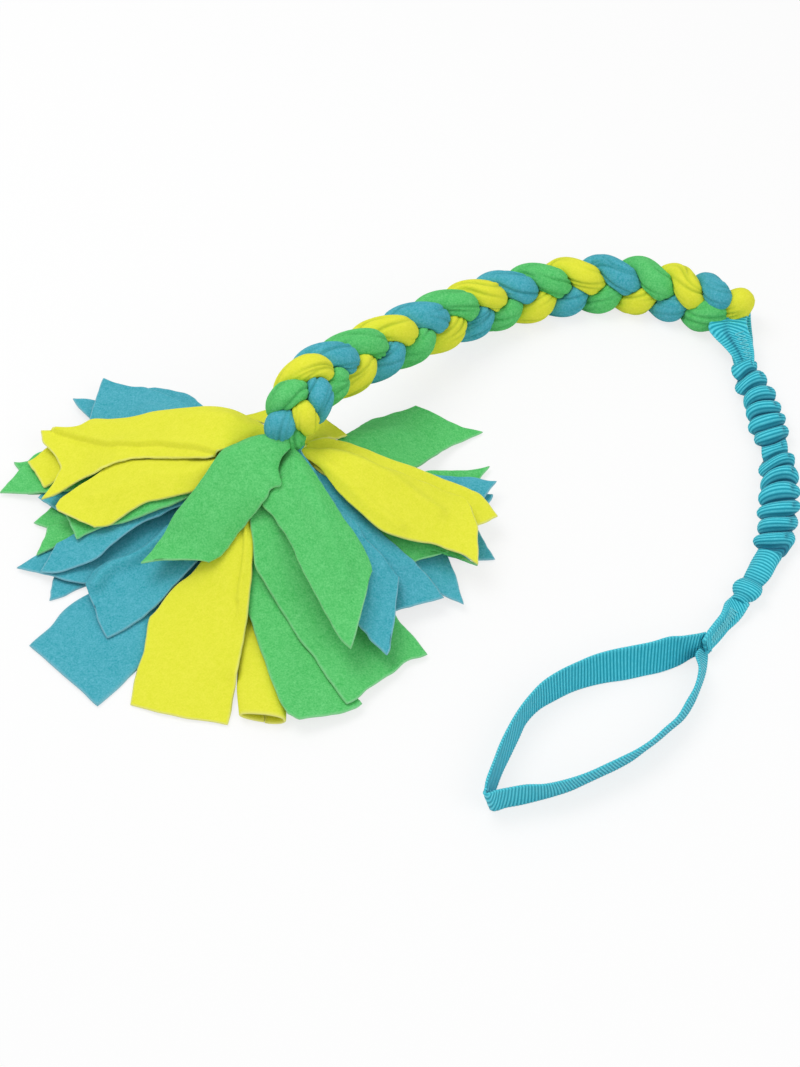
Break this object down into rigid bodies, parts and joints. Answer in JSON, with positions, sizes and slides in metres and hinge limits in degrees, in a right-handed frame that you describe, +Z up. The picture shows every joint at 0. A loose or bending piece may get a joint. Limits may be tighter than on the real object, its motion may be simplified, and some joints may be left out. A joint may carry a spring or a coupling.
{
  "type": "bungee tug toy",
  "caption": "Dog tug toy: a mop of cut fleece strips, a plaited fleece rope and a gathered elastic webbing sleeve that ends in a webbing hand loop.",
  "frame": {"origin": "on the table, under the middle of the tassel's heart, where the flat foot of the heart rests", "axes": "+X runs along the table from the tassel towards the bungee sleeve, +Y along the table away from the viewer, +Z up"},
  "size_m": [0.5016, 0.434, 0.0955],
  "materials": {
    "fleece_blue": "matte fleece",
    "fleece_green": "matte fleece",
    "fleece_yellow": "matte fleece",
    "webbing": "ribbed woven",
    "thread": "sewn thread",
    "elastic_cord": "braided elastic"
  },
  "bodies": {
    "tug_body": {"tassel_heart": "fleece_green", "neck_tie": "fleece_green", "plait_strand_blue": "fleece_blue", "plait_strand_green": "fleece_green", "plait_strand_yellow": "fleece_yellow", "strip_01_green": "fleece_green", "strip_02_blue": "fleece_blue", "strip_03_blue": "fleece_blue", "strip_04_green": "fleece_green", "strip_05_blue": "fleece_blue", "strip_06_blue": "fleece_blue", "strip_07_blue": "fleece_blue", "strip_08_blue": "fleece_blue", "strip_10_yellow": "fleece_yellow", "strip_11_yellow": "fleece_yellow", "strip_12_blue": "fleece_blue", "strip_13_green": "fleece_green", "strip_14_green": "fleece_green", "strip_15_blue": "fleece_blue", "strip_16_yellow": "fleece_yellow", "strip_17_green": "fleece_green", "strip_18_blue": "fleece_blue", "strip_19_blue": "fleece_blue", "strip_20_green": "fleece_green", "strip_21_blue": "fleece_blue", "strip_22_green": "fleece_green", "strip_23_blue": "fleece_blue", "strip_24_yellow": "fleece_yellow", "strip_25_yellow": "fleece_yellow", "strip_26_green": "fleece_green", "strip_27_blue": "fleece_blue", "strip_28_yellow": "fleece_yellow", "strip_29_green": "fleece_green", "strip_31_blue": "fleece_blue", "strip_32_yellow": "fleece_yellow", "strip_33_blue": "fleece_blue"},
    "bungee_top": {"webbing_end_loop": "webbing", "end_loop_tack": "thread", "gathered_sleeve": "webbing", "bungee_cord": "elastic_cord"},
    "stem": {"stem": "webbing", "stem_tack": "thread"},
    "hand_loop": {"hand_loop": "webbing", "loop_seam": "thread"},
    "lifting_strip_09": {"strip_09_green": "fleece_green"},
    "lifting_strip_30": {"strip_30_yellow": "fleece_yellow"},
    "lifting_strip_34": {"strip_34_yellow": "fleece_yellow"},
    "lifting_strip_35": {"strip_35_green": "fleece_green"},
    "lifting_strip_36": {"strip_36_green": "fleece_green"}
  },
  "joints": [
    {"name": "loop_swing", "type": "hinge", "parent": "tug_body", "child": "bungee_top", "pos_m": [0.29, 0.156, 0], "axis": [0, 0, 1], "range_deg": [-7, 30]},
    {"name": "bungee_stretch", "type": "slide", "parent": "bungee_top", "child": "stem", "axis": [-0.0907, -0.9959, 0], "range_m": [0, 0.12], "stiffness_N_per_m": 80, "deforming": ["gathered_sleeve", "bungee_cord"]},
    {"name": "handle_swing", "type": "hinge", "parent": "stem", "child": "hand_loop", "pos_m": [0.251, -0.117, 0], "axis": [0, 0, 1], "range_deg": [-8, 40]},
    {"name": "lift_09", "type": "hinge", "parent": "tug_body", "child": "lifting_strip_09", "pos_m": [0.0078, 0.00507, 0.0483], "axis": [0.5446, -0.8387, 0], "range_deg": [0, 30]},
    {"name": "lift_30", "type": "hinge", "parent": "tug_body", "child": "lifting_strip_30", "pos_m": [0.00885, -0.00287, 0.0558], "axis": [-0.309, -0.9511, 0], "range_deg": [0, 30]},
    {"name": "lift_34", "type": "hinge", "parent": "tug_body", "child": "lifting_strip_34", "pos_m": [-0.00923, 0.00113, 0.0608], "axis": [0.1219, 0.9925, 0], "range_deg": [0, 30]},
    {"name": "lift_35", "type": "hinge", "parent": "tug_body", "child": "lifting_strip_35", "pos_m": [-0.00691, -0.00622, 0.0608], "axis": [-0.6691, 0.7431, 0], "range_deg": [0, 30]},
    {"name": "lift_36", "type": "hinge", "parent": "tug_body", "child": "lifting_strip_36", "pos_m": [0.00378, -0.0085, 0.0608], "axis": [-0.9135, -0.4067, 0], "range_deg": [0, 30]}
  ]
}
